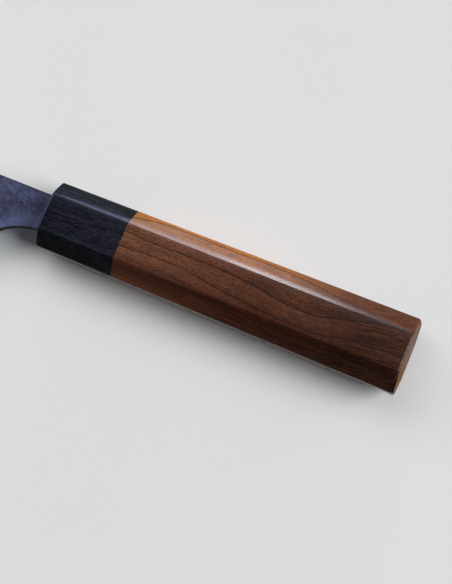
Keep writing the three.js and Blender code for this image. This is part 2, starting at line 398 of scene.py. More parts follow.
def bore_outline(shape, radius, x):
    """A round outline square to the handle."""
    turned = Matrix.Translation((x, AXIS.y, AXIS.z)) @ Matrix.Rotation(math.pi / 2, 4, "Y")
    ring = bmesh.ops.create_circle(shape, segments=BORE_SIDES, radius=radius, matrix=turned)["verts"]
    return list({edge for point in ring for edge in point.link_edges})


def fill_round(shape, outline, hole):
    """Fills the flat face between an outline and the hole in it."""
    bmesh.ops.triangle_fill(shape, edges=outline + hole, use_beauty=True)


def push(shape, outline, run):
    """Pushes an outline along the handle, leaving a wall behind it."""
    made = bmesh.ops.extrude_edge_only(shape, edges=outline)["geom"]
    points = {part for part in made if isinstance(part, bmesh.types.BMVert)}
    bmesh.ops.translate(shape, verts=list(points), vec=(run, 0, 0))
    return [part for part in made if isinstance(part, bmesh.types.BMEdge) and set(part.verts) <= points]


print("wood helpers ready")

# %% [markdown]
# Every piece ends the same way. Doubled points are merged, the faces are turned outwards, edges that
# bend sharply stay sharp, and an attribute marks the gently bent corners. Hands wear the finish there,
# and on the collar's front the same mark carries a painted glint. Then the piece takes the place of its
# CAD node.

# %% Helper that finishes a piece
WORN_BEND = 8.0


def finish_piece(shape, name, body_slot, *nodes, sharp=30.0):
    """Makes an object of a bmesh, shades it, and lets it stand for its CAD nodes."""
    bmesh.ops.remove_doubles(shape, verts=shape.verts, dist=SAME_POINT)
    bmesh.ops.recalc_face_normals(shape, faces=shape.faces)
    wear_and_glint = shape.verts.layers.float.new("wear_and_glint")
    for point in shape.verts:
        bends = [math.degrees(edge.calc_face_angle(0)) for edge in point.link_edges]
        point[wear_and_glint] = min(max((bend for bend in bends if bend < sharp), default=0) / WORN_BEND, 1.0)
    for face in shape.faces:
        face.smooth = True
    for edge in shape.edges:
        edge.smooth = edge.calc_face_angle(math.pi) < math.radians(sharp)
    mesh = bpy.data.meshes.new(name)
    open_edges = sum(not edge.is_manifold for edge in shape.edges)
    shape.to_mesh(mesh)
    shape.free()
    piece = bpy.data.objects.new(name, mesh)
    bpy.context.scene.collection.objects.link(piece)
    weighted = piece.modifiers.new("weighted", "WEIGHTED_NORMAL")
    weighted.keep_sharp = True
    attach(piece, "root")
    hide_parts(*nodes)
    print(name, len(mesh.polygons), "faces,", open_edges, "open edges")
    return piece


print("bends of", WORN_BEND, "degrees or more count as worn")

# %% [markdown]
# ## The grip
# On the real knife the grip is one stick of walnut, bored from the front for the dowel that joins it to
# the collar. Its butt leans by a hair, as a saw cut does. Only the outside shows, but the bore is made
# too, so that the piece is right when the knife is taken apart.

# %% Model the grip
BUTT_ROUNDING = 1.0 * MM
BUTT_LEAN = 0.01
BORE_END_GAP = 0.5 * MM
DOWEL_CLEARANCE = 0.3 * MM

dowel_low, dowel_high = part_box("left_dowel_half")
BORE_RADIUS = (dowel_high.y - dowel_low.y) / 2 + DOWEL_CLEARANCE
shape = bmesh.new()
grip_front, butt = bar(shape, JOINT_X - FRONT_X, HANDLE_LENGTH - BUTT_ROUNDING)
for point in shape.verts:
    if point.co.x > BUTT_X - BUTT_ROUNDING - 2 * END_MARGIN:
        point.co.x -= BUTT_LEAN * (point.co.y - AXIS.y)
round_over(shape, butt, BUTT_ROUNDING)
bore = bore_outline(shape, BORE_RADIUS, JOINT_X)
fill_round(shape, open_face(shape, grip_front), bore)
bore_depth = dowel_high.x + BORE_END_GAP - JOINT_X
bmesh.ops.edgeloop_fill(shape, edges=push(shape, bore, bore_depth))
grip = finish_piece(shape, "grip", "walnut", "handle_body")

# %% [markdown]
# ## The collar
# The collar is a short length of black wood in front of the grip. Its front is rounded over, and the
# neck of the blade enters through a slot, the mouth. Behind the mouth the bore for the dowel begins.

# %% Model the collar
FRONT_ROUNDING = 0.45 * MM

shape = bmesh.new()
collar_front, collar_back = bar(shape, FRONT_ROUNDING, JOINT_X - FRONT_X)
round_over(shape, collar_front, FRONT_ROUNDING)

seal_low, seal_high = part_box("mouth_seal")
mouth_ring = bmesh.ops.create_circle(shape, segments=4, radius=1.0)["verts"]
mouth_sides = [(seal_low.y, seal_low.z), (seal_high.y, seal_low.z),
               (seal_high.y, seal_high.z), (seal_low.y, seal_high.z)]
for point, (y, z) in zip(mouth_ring, mouth_sides):
    point.co = (FRONT_X, y, z)
mouth = list({edge for point in mouth_ring for edge in point.link_edges})
fill_round(shape, open_face(shape, collar_front), mouth)

mouth_back = push(shape, mouth, dowel_low.x - FRONT_X)
bore = bore_outline(shape, BORE_RADIUS, dowel_low.x)
fill_round(shape, bore, mouth_back)
fill_round(shape, open_face(shape, collar_back), push(shape, bore, JOINT_X - dowel_low.x))
collar = finish_piece(shape, "collar", "black_wood", "ferrule")

# %% [markdown]
# ## The blade
# A forged blade of this kind is a sandwich: hard steel in the middle, soft iron on both sides. The CAD
# layers already have the right profile and grind, so each one is copied. The triangles of its flats and
# of its narrow walls are merged into whole faces, while the ground bevels keep theirs, because they are
# not flat. The sharp rim is then eased with a bevel, finely along the spine and more broadly at the
# choil, the notch behind the heel where a finger rests.

# %% Model the blade layers
SPINE_EASING = 0.2 * MM
CHOIL_EASING = 0.5 * MM
RIM_STEPS = 3
RIM_ANGLE = math.radians(60)
SPINE_THICK = 0.65 * MM
CHOIL_THICK = 1.4 * MM
FLAT_JOIN = math.radians(0.05)
FLAT_FACING = 0.999
WALL_FACING = 0.1
CREASE = 1.5
CAD_SAME_POINT = 1e-6


def is_rim_edge(edge, towards, thick):
    """True for a sharp edge of the visible rim that looks to the spine (1) or to the choil (-1)."""
    if len(edge.link_faces) != 2 or edge.calc_face_angle() < RIM_ANGLE:
        return False
    wall = min(edge.link_faces, key=lambda face: abs(face.normal.z))
    thin = min(abs(point.co.z - AXIS.z) for point in edge.verts) < thick
    return not thin and wall.normal.y * towards > 0 and max(point.co.x for point in edge.verts) < JOINT_X


def blade_layer(name, cad_node, body_slot, eased):
    """A copy of a CAD layer with whole faces and, on the two outer layers, an eased rim."""
    shape = bmesh.new()
    shape.from_mesh(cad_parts[cad_node].data)
    bmesh.ops.remove_doubles(shape, verts=shape.verts, dist=CAD_SAME_POINT)
    whole = [edge for edge in shape.edges
             if all(abs(face.normal.z) > FLAT_FACING for face in edge.link_faces)
             or all(abs(face.normal.z) < WALL_FACING for face in edge.link_faces)]
    bmesh.ops.dissolve_limit(shape, angle_limit=FLAT_JOIN, verts=[], edges=whole)
    if eased:
        for towards, easing, thick in ((1, SPINE_EASING, SPINE_THICK), (-1, CHOIL_EASING, CHOIL_THICK)):
            rim = [edge for edge in shape.edges if is_rim_edge(edge, towards, thick)]
            bmesh.ops.bevel(shape, geom=rim, offset=easing, segments=RIM_STEPS, profile=0.5,
                            affect="EDGES", material=-1)
            print(name, len(rim), "rim edges eased by", round(easing / MM, 2), "mm")
    return finish_piece(shape, name, body_slot, cad_node, sharp=CREASE)


core = blade_layer("core_layer", "core_steel", "core_steel", False)
left_side = blade_layer("left_side", "left_cladding", "forge_scale", True)
right_side = blade_layer("right_side", "right_cladding", "forge_scale", True)

# %% [markdown]
# ## Walnut
# The grip is oiled walnut, lighter next to the collar and dark chocolate at the butt. Its growth lines
# run along the handle, dip towards the edge in the middle and rise again towards the butt. Two of them
# are drawn as curves, and everything else is measured from these, which keeps the lines, the fibres and
# the pores parallel, as they are in a tree. Between two lines the wood darkens slowly and then starts
# again light. Deeper in the stick the years pass with the depth, as rings do.

# %% Lay the growth rings
# Distance behind the collar's front and height above the middle of two growth lines, in millimetres
UPPER_LINE = [(22, 4.1), (31, 3.7), (39, 3.2), (62, 3.4), (76, 3.0), (82.5, 2.1), (88, 0.9), (95, 0.4),
              (101, 0.7), (107.5, 2.1), (114, 3.7), (122, 5.5), (137, 8.6)]
LOWER_LINE = [(22, -1.9), (31, -1.5), (43, -1.0), (50, -1.0), (62, -2.2), (74, -3.4), (86, -4.6),
              (95, -5.0), (101, -4.9), (107.5, -4.1), (111.5, -3.1), (117.5, -2.5), (125.5, -1.8),
              (137, -1.6)]
# The same for the line where the lighter sapwood next to the spine begins, measured round the corner
SAP_LINE = [(22, 8.0), (29, 10.8), (34.5, 13.2), (46.5, 15.5), (66, 15.2), (83, 15.6), (93, 14.8),
            (104, 12.3), (114, 10.6), (121.5, 8.6), (137, 6.0)]
# Height of the left side above the axis at the front, and its rise for each millimetre
SIDE_HEIGHT = 9.6
SIDE_RISE = 0.0067
# How far the lines wander, and the first and last year of the pattern, in years
WANDER = 0.22
WANDER_START = -0.05
FIRST_YEAR = -0.85
LAST_YEAR = 1.85
# Depth at which the years begin to pass, in millimetres, and years for each millimetre
RINGS_FROM = 6.0
RING_RATE = 0.2

walnut, tree, shader, place = new_finish("oiled_walnut")
apart = node(tree, "SeparateXYZ", {0: place})
along, across, up = apart.outputs[0], apart.outputs[1], apart.outputs[2]
upper = wave(tree, along, UPPER_LINE)
lower = wave(tree, along, LOWER_LINE)
middle = maths(tree, "MULTIPLY", maths(tree, "ADD", upper, lower), 0.5)
from_middle = maths(tree, "SUBTRACT", across, middle)
fibre_place = node(tree, "CombineXYZ", {0: along, 1: from_middle, 2: up}).outputs[0]

drift = maths(tree, "SUBTRACT", noise(tree, fibre_place, (14, 4, 4), detail=2), 0.5)
year_width = maths(tree, "SUBTRACT", upper, lower)
ring = maths(tree, "DIVIDE", maths(tree, "SUBTRACT", upper, across), year_width)
ring = maths(tree, "ADD", ring, maths(tree, "MULTIPLY_ADD", drift, WANDER, WANDER_START))
ring = maths(tree, "MINIMUM", maths(tree, "MAXIMUM", ring, FIRST_YEAR), LAST_YEAR)
side = maths(tree, "MULTIPLY_ADD", along, SIDE_RISE, SIDE_HEIGHT)
depth = maths(tree, "MAXIMUM", maths(tree, "SUBTRACT", side, up), 0.0)
passed = maths(tree, "MULTIPLY_ADD", depth, RING_RATE, -RING_RATE * RINGS_FROM)
year = maths(tree, "FRACT", maths(tree, "ADD", ring, maths(tree, "MAXIMUM", passed, 0.0)))
print("a year is", UPPER_LINE[0][1] - LOWER_LINE[0][1], "mm wide next to the collar")

# %% [markdown]
# The colour is built in layers, as a painter would do it. The heartwood comes first, then the pale wood
# next to the spine, which is partly paler wood and partly painted light and highlight for the light that
# falls on that slanted side. Then come the orange sapwood behind its dark line, the redder wood towards
# the edge, and a painted shade below the lower corner with painted light from the floor towards the
# edge.

# %% Colour the walnut
# Length over which the colours run, in millimetres, a little more than the handle
GRAIN_RUN = 137
# Share of that length, and the colour there
HEARTWOOD = [(0.2, (0.172, 0.070, 0.040)), (0.42, (0.148, 0.058, 0.033)), (0.58, (0.099, 0.037, 0.021)),
             (0.72, (0.081, 0.031, 0.0185)), (0.87, (0.055, 0.0225, 0.0145)),
             (0.97, (0.060, 0.0255, 0.0165))]
# The pale wood is partly paler wood and partly painted light: the slanted side next to the spine is made
# paler for the light that falls on it, and its fall along the handle follows the highlight
LIT_PALE_WOOD = [(0.2, (0.362, 0.165, 0.091)), (0.55, (0.318, 0.145, 0.083)), (0.64, (0.282, 0.125, 0.070)),
             (0.73, (0.196, 0.080, 0.043)), (0.80, (0.122, 0.045, 0.0225)),
             (0.9, (0.097, 0.034, 0.0165))]
# Share of a year, and the shade there
YEAR_SHADES = [(0.0, grey(1.0)), (0.15, grey(1.02)), (0.5, grey(0.9)), (0.85, grey(0.78)),
               (1.0, grey(0.78))]
# Share of the way from the lower corner of the left side to the edge side, and the shade there:
# a painted shade just below the corner, and painted light from the floor towards the edge
EDGE_SHADE_AND_FLOOR_LIGHT = [(0.0, grey(1.0)), (0.14, (0.66, 0.55, 0.455)), (0.45, (0.95, 0.79, 0.63)),
               (0.9, (1.25, 1.04, 0.80))]
SECOND_YEAR_TINT = (0.92, 0.92, 0.94, 1)
SAP_TINT = (1.24, 0.96, 0.31, 1)
SAP_EDGE_COLOUR = (0.03, 0.014, 0.008, 1)
RED_TINT = (0.66, 0.595, 0.58, 1)

way = spread(tree, along, 0, GRAIN_RUN)
colour = tone_by(tree, ramp(tree, way, HEARTWOOD), year, YEAR_SHADES)
colour = shade(tree, colour, SECOND_YEAR_TINT, spread(tree, ring, 0.85, 1.1, smooth=True))

to_spine = maths(tree, "ADD", across, depth)
to_sap = maths(tree, "SUBTRACT", to_spine, wave(tree, along, SAP_LINE))
to_sap = maths(tree, "MULTIPLY_ADD", drift, 0.8, to_sap)
# Painted light and highlight: the slanted side next to the spine is made paler for the light on it
paler_and_lit = spread(tree, to_spine, 6.6, 9.2, smooth=True)
lit_pale_wood = ramp(tree, way, LIT_PALE_WOOD)
colour = mix(tree, paler_and_lit, colour, lit_pale_wood)
in_sap = maths(tree, "MULTIPLY", spread(tree, to_sap, -0.1, 0.4, smooth=True),
               spread(tree, along, 85, 105, 1.0, 0.5))
in_sap = maths(tree, "MULTIPLY", in_sap, spread(tree, to_spine, 18.5, 25, 1.0, 0.5, smooth=True))
colour = mix(tree, in_sap, colour, shade(tree, lit_pale_wood, SAP_TINT))
sap_edge = spread(tree, maths(tree, "ABSOLUTE", to_sap), 0.1, 0.55, 0.8, 0.0, smooth=True)
colour = mix(tree, sap_edge, colour, SAP_EDGE_COLOUR)
redder = maths(tree, "MULTIPLY", spread(tree, across, -2.0, -7.0, smooth=True),
               spread(tree, along, 25, 75, 0.6, 1.0))
colour = shade(tree, colour, RED_TINT, redder)
# Painted shade just below the lower corner, and painted light from the floor towards the edge
colour = tone_by(tree, colour, spread(tree, across, -5.6, -12.6), EDGE_SHADE_AND_FLOOR_LIGHT)
print("walnut colours laid")

# %% [markdown]
# The fine detail is what makes it wood. Clouds, a soft glow, long fibres and short slanted flecks
# lighten and darken it, each one a noise that is stretched along the fibres. Towards the edge the wood
# is striped lengthwise, and towards the butt it is streaky.

# %% Draw the fibres, flecks and stripes
FLECK_SLANT = math.radians(10)
CLOUD_SHADES = [(0.3, grey(0.82)), (0.7, grey(1.08))]
GLOW_SHADES = [(0.34, (0.88, 0.92, 0.97)), (0.5, grey(0.99)), (0.66, (1.15, 1.07, 0.96))]
FIBRE_SHADES = [(0.34, grey(0.74)), (0.5, grey(0.97)), (0.66, grey(1.2))]
FLECK_SHADES = [(0.36, (0.58, 0.59, 0.62)), (0.5, grey(0.95)), (0.64, (1.44, 1.38, 1.25))]
STRIPE_SHADES = [(0.36, grey(0.58)), (0.5, grey(0.93)), (0.64, (1.45, 1.38, 1.30))]
STREAK_SHADES = [(0.38, grey(0.72)), (0.52, grey(0.95)), (0.64, (1.75, 1.55, 1.25))]
BUTT_SHADES = [(0.0, grey(1.14)), (1.0, grey(0.88))]

colour = tone_by(tree, colour, noise(tree, fibre_place, (22, 5, 5), detail=3), CLOUD_SHADES)
colour = tone_by(tree, colour, noise(tree, fibre_place, (6, 1.6, 1.6), detail=2), GLOW_SHADES)
fibre = noise(tree, fibre_place, (11, 0.28, 0.28), detail=3, roughness=0.6)
colour = tone_by(tree, colour, fibre, FIBRE_SHADES)
tilted = node(tree, "Mapping", {"Vector": fibre_place, "Rotation": (0, 0, -FLECK_SLANT)}).outputs[0]
fleck = noise(tree, tilted, (1.3, 0.19, 0.19), detail=2)
edgeward = spread(tree, across, -5.0, -7.0, smooth=True)
flecked = maths(tree, "MULTIPLY_ADD", edgeward, -0.45, spread(tree, paler_and_lit, 0, 1, 1.0, 0.4))
colour = tone_by(tree, colour, fleck, FLECK_SHADES, flecked)

stripe = noise(tree, fibre_place, (45, 0.7, 0.7), detail=1)
colour = tone_by(tree, colour, stripe, STRIPE_SHADES, edgeward)
streak = noise(tree, fibre_place, (16, 0.42, 0.42), detail=1)
streaked = spread(tree, along, 104, 122, 0.0, 0.75, smooth=True)
colour = tone_by(tree, colour, streak, STREAK_SHADES, streaked)
buttward = spread(tree, along, 84, 112, 0.0, 0.75, smooth=True)
colour = tone_by(tree, colour, spread(tree, across, -2, 6), BUTT_SHADES, buttward)
print("fibres, flecks and stripes drawn")

# %% [markdown]
# Open pores gather in a row before each growth line, and the line itself is thin and broken.

# %% Draw the pores and the growth lines
PORE_COLOUR = (0.030, 0.022, 0.021, 1)
PORE_DARKNESS = 0.65
LINE_COLOUR = (0.022, 0.010, 0.007, 1)
LINE_PROFILE = [(0.895, grey(0.0)), (0.935, grey(1.0)), (0.965, grey(1.0)), (1.0, grey(0.0))]

pore_noise = noise(tree, tilted, (2.0, 0.24, 0.24), detail=1)
pore_row = spread(tree, year, 0.66, 0.92, 0.62, 0.54, smooth=True)
pore = spread(tree, maths(tree, "SUBTRACT", pore_noise, pore_row), 0.0, 0.08, smooth=True)
colour = mix(tree, maths(tree, "MULTIPLY", pore, PORE_DARKNESS), colour, PORE_COLOUR)

breaks = noise(tree, fibre_place, (5, 1.5, 1.5), detail=2)
line = ramp(tree, year, LINE_PROFILE)
line = maths(tree, "MULTIPLY", line, spread(tree, breaks, 0.36, 0.56, 0.6, 0.95))
line = maths(tree, "MULTIPLY", line, spread(tree, along, 35, 85, 0.85, 1.0))
colour = mix(tree, line, colour, LINE_COLOUR)
print("pores and lines drawn")

# %% [markdown]
# Where hands have rubbed the corners the wood is a little paler and smoother. Just before the butt the
# polish stops. The relief of an oiled and polished handle is only a thousandth of a millimetre, so the
# bump is faint.

# %% Wear the corners and oil the walnut
RUBBED_TINT = (1.5, 1.45, 1.4, 1)
RUBBED_SHARE = 0.3
POLISH_STOPS = (132.6, 133.4)
UNPOLISHED = 0.16

wear_and_glint = node(tree, "Attribute", attribute_name="wear_and_glint").outputs["Fac"]
colour = shade(tree, colour, RUBBED_TINT, spread(tree, wear_and_glint, 0.4, 1.0, 0.0, RUBBED_SHARE))
rough = maths(tree, "MULTIPLY_ADD", fibre, 0.03, 0.12)
rough = maths(tree, "ADD", rough, spread(tree, along, *POLISH_STOPS, 0.0, UNPOLISHED))
rough = maths(tree, "MULTIPLY_ADD", wear_and_glint, -0.02, rough)
relief = maths(tree, "SUBTRACT", maths(tree, "MULTIPLY", fibre, 0.4), pore)
fill(shader, {"Base Color": colour, "Roughness": rough, "Specular IOR Level": 0.17,
              "Normal": bump(tree, relief, 0.001, 0.4)})
grip.data.materials.append(walnut)
print("walnut:", len(tree.nodes), "nodes")

# %% [markdown]
# The butt shows the wood cut across. It drinks more oil and takes no polish, so it is duller and more
# yellow, with the rings seen end on and every pore a dot. It gets a finish of its own, by face.

# %% Cut the end of the walnut
RING_LEAN = math.radians(25)
RING_GAP = 4.6
RING_BOW = 0.03
RING_BEND = 2.0
END_FACING = 0.74
CUT_SPINEWARD = (0.173, 0.116, 0.089, 1)
CUT_EDGEWARD = (0.148, 0.081, 0.037, 1)
CUT_YEAR_SHADES = [(0.0, grey(1.08)), (0.7, grey(0.9)), (0.93, grey(0.6)), (1.0, grey(0.75))]
STIPPLE_SHADES = [(0.36, grey(0.5)), (0.48, grey(0.97)), (0.64, grey(1.12))]

cut_walnut, tree, shader, place = new_finish("cut_walnut")
turned = node(tree, "Mapping", {"Vector": place, "Rotation": (RING_LEAN, 0, 0)}).outputs[0]
apart = node(tree, "SeparateXYZ", {0: turned})
bow = maths(tree, "MULTIPLY", maths(tree, "POWER", apart.outputs[2], 2.0), RING_BOW)
bend = maths(tree, "MULTIPLY", noise(tree, place, (9, 9, 9), detail=2), RING_BEND)
ring = maths(tree, "ADD", maths(tree, "SUBTRACT", apart.outputs[1], bow), bend)
year = maths(tree, "FRACT", maths(tree, "DIVIDE", ring, RING_GAP))
across = node(tree, "SeparateXYZ", {0: place}).outputs[1]
colour = mix(tree, spread(tree, across, 3, -8), CUT_SPINEWARD, CUT_EDGEWARD)
colour = tone_by(tree, colour, year, CUT_YEAR_SHADES)
stipple = noise(tree, place, (3.0, 0.3, 0.3), detail=3, roughness=0.7)
colour = tone_by(tree, colour, stipple, STIPPLE_SHADES)
fill(shader, {"Base Color": colour, "Roughness": maths(tree, "MULTIPLY_ADD", stipple, 0.2, 0.65),
              "Specular IOR Level": 0.0, "Normal": bump(tree, stipple, 0.02, 0.5)})
grip.data.materials.append(cut_walnut)
end_faces = [face for face in grip.data.polygons if face.normal.x > END_FACING]
for face in end_faces:
    face.material_index = 1
print("cut end:", len(end_faces), "faces")

# %% [markdown]
# ## Black wood
# The collar is dyed a blue black right through. Its grain still shows as fine lines, a little aslant to
# the handle, and on the slanted side next to the spine, where the light is low, as open grooves. Noise
# that is stretched along the handle draws both, and the dye takes a little unevenly. The lower slanted
# side and the corner above it carry a painted shade. The rounded front of the wide side carries a
# painted glint, pale blue, and every eased corner a faint paleness of wear. The polish is finest at the
# front.

# %% Mix the black wood
GRAIN_SLANT = math.radians(2.5)
DYE = [(0.40, (0.0022, 0.0022, 0.0034)), (0.5, (0.0082, 0.0086, 0.0132)), (0.60, (0.023, 0.0245, 0.036))]
PATCH_SHADES = [(0.3, grey(0.75)), (0.7, grey(1.2))]
BACKWARD_SHADES = [(0.0, grey(0.95)), (1.0, grey(1.2))]
GROOVE_SHADES = [(0.47, grey(0.0)), (0.55, grey(0.05)), (0.62, (1.6, 1.6, 2.0))]
LOW_HALF_TINT = (1.2, 1.2, 1.12, 1)
LOW_SLANT_PAINTED_SHADE = (0.40, 0.40, 0.30, 1)
GLINT_AND_RUBBED_BLUE = (0.080, 0.094, 0.165, 1)

black_wood, tree, shader, place = new_finish("black_wood")
apart = node(tree, "SeparateXYZ", {0: place})
along, across = apart.outputs[0], apart.outputs[1]
slanted = node(tree, "Mapping", {"Vector": place, "Rotation": (0, 0, -GRAIN_SLANT)}).outputs[0]
line = noise(tree, slanted, (22, 0.26, 0.26), detail=2, roughness=0.6)
hair = noise(tree, slanted, (2.4, 0.18, 0.18), detail=1)
tone = maths(tree, "MULTIPLY_ADD", hair, 0.45, maths(tree, "MULTIPLY", line, 0.55))
colour = ramp(tree, tone, DYE)
colour = tone_by(tree, colour, noise(tree, place, (9, 4, 4), detail=3), PATCH_SHADES)
colour = tone_by(tree, colour, spread(tree, along, 2, 30), BACKWARD_SHADES)
colour = shade(tree, colour, LOW_HALF_TINT, spread(tree, across, -1, -4, smooth=True))
groove = noise(tree, slanted, (50, 0.62, 0.62), detail=1)
colour = tone_by(tree, colour, groove, GROOVE_SHADES, spread(tree, across, 6.6, 8.0, smooth=True))
# Painted shade on the lower slanted side and the corner above it
colour = shade(tree, colour, LOW_SLANT_PAINTED_SHADE, spread(tree, across, -5.8, -6.8))

wear_and_glint = node(tree, "Attribute", attribute_name="wear_and_glint").outputs["Fac"]
# A painted glint, pale blue, on the rounded front of the wide side, and a faint rub of wear on every
# eased corner
on_side = maths(tree, "MULTIPLY", spread(tree, maths(tree, "ABSOLUTE", across), 7.2, 6.4),
                spread(tree, across, -5.0, 0.5, 0.4, 1.0))
front_glint_and_rub = maths(tree, "MULTIPLY", spread(tree, along, 1.0, 0.5), on_side)
front_glint_and_rub = maths(tree, "MULTIPLY_ADD", front_glint_and_rub, 0.75, 0.1)
colour = mix(tree, maths(tree, "MULTIPLY", wear_and_glint, front_glint_and_rub), colour, GLINT_AND_RUBBED_BLUE)
rough = maths(tree, "MULTIPLY_ADD", tone, 0.05, spread(tree, along, 0, 30, 0.045, 0.135))
fill(shader, {"Base Color": colour, "Roughness": rough, "Specular IOR Level": 0.142,
              "Specular Tint": (0.66, 0.73, 1.0, 1), "Normal": bump(tree, tone, 0.002, 0.4)})
collar.data.materials.append(black_wood)
print("black wood:", len(tree.nodes), "nodes")

# %% [markdown]
# ## The finish of the blade
# The flats keep the dark scale of the forge. The wide bevel is ground to bright iron, and along the edge
# the hard steel shows behind a wavy line. All of it comes from one recipe that measures the height above
# the cutting edge, so that the layers of the blade agree where they meet. So the edge is traced first,
# as a curve with four handles, and the arc of the choil with it.

# %% Trace the cutting edge and the choil
# Millimetres from the middle of the collar's front
HEEL_X = -26.5
HEEL_Y = -40.12
EDGE_HANDLES = [Vector((-236.5, -9.12)), Vector((-191.5, HEEL_Y + 3.0)), Vector((HEEL_X - 90.0, HEEL_Y)),
                Vector((HEEL_X, HEEL_Y))]
EDGE_STATIONS = 9
CROWDING = 1.4
CHOIL_CENTRE = Vector((-1.9, -31.32, 0))
CHOIL_RADIUS = 24.6


def edge_point(share):
    """A point of the cutting edge, in millimetres, from the tip at 0 to the heel at 1."""
    points = EDGE_HANDLES
    while len(points) > 1:
        points = [a.lerp(b, share) for a, b in zip(points, points[1:])]
    return points[0]


# The stations crowd towards the tip, where the edge bends most
edge_line = [edge_point((station / EDGE_STATIONS) ** CROWDING) for station in range(EDGE_STATIONS + 1)]
print("cutting edge from", tuple(edge_line[0]), "to", tuple(edge_line[-1]))

# %% [markdown]
# Forge scale is the thin skin of oxide that the fire leaves. It is blue grey with clouds of violet and
# green, and darker and greyer away from the neck. Along the choil and next to the collar it shows bluer
# temper colours. Over the last dozen millimetres before the collar it is also painted lighter and bluer,
# a painted light where the collar's shadow falls. Clouds of several sizes, laid over one another, give
# it no direction.

# %% Mix the forge scale
CLOUD_SHIFT = (4.4, 0, 0)
SCALE_COLOURS = [(0.36, (0.025, 0.0295, 0.059)), (0.46, (0.040, 0.0465, 0.098)),
                 (0.54, (0.055, 0.0645, 0.137)), (0.64, (0.080, 0.094, 0.192))]
VIOLET = (0.048, 0.048, 0.081, 1)
GREEN = (0.044, 0.054, 0.083, 1)
TEMPER_BLUE = (0.107, 0.127, 0.262, 1)
SPECK_SHADES = [(0.36, grey(0.82)), (0.64, grey(1.2))]
DUST_SHADES = [(0.3, grey(0.85)), (0.7, grey(1.05))]
# Share of the stretch before the collar, and a painted light there against the collar's shadow
NECK_PAINTED_LIGHT = [(0.0, (0.96, 0.97, 0.98)), (0.5, grey(1.0)), (0.72, (1.3, 1.32, 1.36)),
               (0.86, (1.7, 1.75, 1.85)), (1.0, (1.4, 1.48, 1.62))]
FAR_TINT = (0.86, 0.83, 0.72, 1)


def forge_scale(tree, place, along):
    """Colour and roughness of the scale, and the fine lumps that its relief needs."""
    shifted = node(tree, "Mapping", {"Vector": place, "Location": CLOUD_SHIFT}).outputs[0]
    cloud = noise(tree, shifted, (10, 7, 7), detail=3)
    tint = noise(tree, shifted, (6, 4.5, 4.5), detail=2)
    speck = noise(tree, place, (1.3, 1.1, 1.1), detail=3, roughness=0.6)
    dust = noise(tree, place, (0.35, 0.35, 0.35), detail=2)
    tone = maths(tree, "MULTIPLY_ADD", speck, 0.5, maths(tree, "MULTIPLY", cloud, 0.5))
    colour = ramp(tree, tone, SCALE_COLOURS)
    colour = mix(tree, spread(tree, tint, 0.52, 0.68, 0.0, 0.55, smooth=True), colour, VIOLET)
    colour = mix(tree, spread(tree, tint, 0.46, 0.34, 0.0, 0.35, smooth=True), colour, GREEN)
    colour = tone_by(tree, colour, speck, SPECK_SHADES)
    # Painted light: lighter and bluer towards the collar, where the collar's shadow falls on the blade
    colour = tone_by(tree, colour, spread(tree, along, -12, -1), NECK_PAINTED_LIGHT)
    colour = shade(tree, colour, FAR_TINT, spread(tree, along, -18, -60, smooth=True))

    flat_place = node(tree, "VectorMath", {0: place, 1: (1, 1, 0)}, operation="MULTIPLY").outputs[0]
    reach = node(tree, "VectorMath", {0: flat_place, 1: CHOIL_CENTRE}, operation="DISTANCE")
    from_choil = maths(tree, "SUBTRACT", reach.outputs["Value"], CHOIL_RADIUS)
    by_choil = spread(tree, from_choil, 9.0, 0.5, smooth=True)
    by_collar = spread(tree, along, -3.2, -1.4, 0.0, 0.6, smooth=True)
    temper = maths(tree, "MAXIMUM", by_choil, by_collar)
    temper = maths(tree, "MULTIPLY", temper, spread(tree, cloud, 0.35, 0.6, 0.4, 0.9))
    colour = mix(tree, temper, colour, TEMPER_BLUE)
    colour = tone_by(tree, colour, dust, DUST_SHADES)
    rough = maths(tree, "MULTIPLY_ADD", speck, 0.3, 0.3)
    return colour, rough, maths(tree, "MULTIPLY_ADD", dust, 0.3, speck)


print("forge scale ready")

# %% [markdown]
# On the ground bevel the stone leaves fine scratches that run from the spine to the edge: a noise that
# is very short along the blade and long across it. The iron is hazy. The steel of the core is brighter,
# and a bright seam runs where the two were welded, waving as the layers do.

# %% Mix the ground iron and steel
CORE_LINE = 6.2
CORE_WAVE = 4.5
IRON_COLOURS = [(0.3, (0.19, 0.195, 0.205)), (0.7, (0.31, 0.315, 0.325))]
STEEL_COLOURS = [(0.3, (0.37, 0.375, 0.385)), (0.7, (0.48, 0.485, 0.495))]
HAZE_SHADES = [(0.3, grey(0.75)), (0.7, grey(1.0))]
SEAM_COLOUR = (0.62, 0.625, 0.63, 1)


def ground_metal(tree, place, above):
    """Colour and roughness of the ground bevel, and the scratches that its relief needs."""
    scratch = noise(tree, place, (0.09, 9, 9), detail=3, roughness=0.7)
    haze = noise(tree, place, (14, 4, 4), detail=3)
    iron = tone_by(tree, ramp(tree, scratch, IRON_COLOURS), haze, HAZE_SHADES)
    ripple = noise(tree, place, (11, 60, 60), detail=2)
    core_line = maths(tree, "MULTIPLY_ADD", ripple, CORE_WAVE, CORE_LINE - CORE_WAVE / 2)
    to_core = maths(tree, "SUBTRACT", core_line, above)
    core_share = spread(tree, to_core, -0.25, 0.15, smooth=True)
    colour = mix(tree, core_share, iron, ramp(tree, scratch, STEEL_COLOURS))
    to_seam = maths(tree, "ABSOLUTE", maths(tree, "ADD", to_core, 0.3))
    colour = mix(tree, spread(tree, to_seam, 0.0, 0.5, 0.45, 0.0, smooth=True), colour, SEAM_COLOUR)
    rough = maths(tree, "MULTIPLY_ADD", core_share, -0.04, 0.54)
    return colour, maths(tree, "MULTIPLY_ADD", scratch, 0.14, rough), scratch


print("core line", CORE_LINE, "mm above the edge")

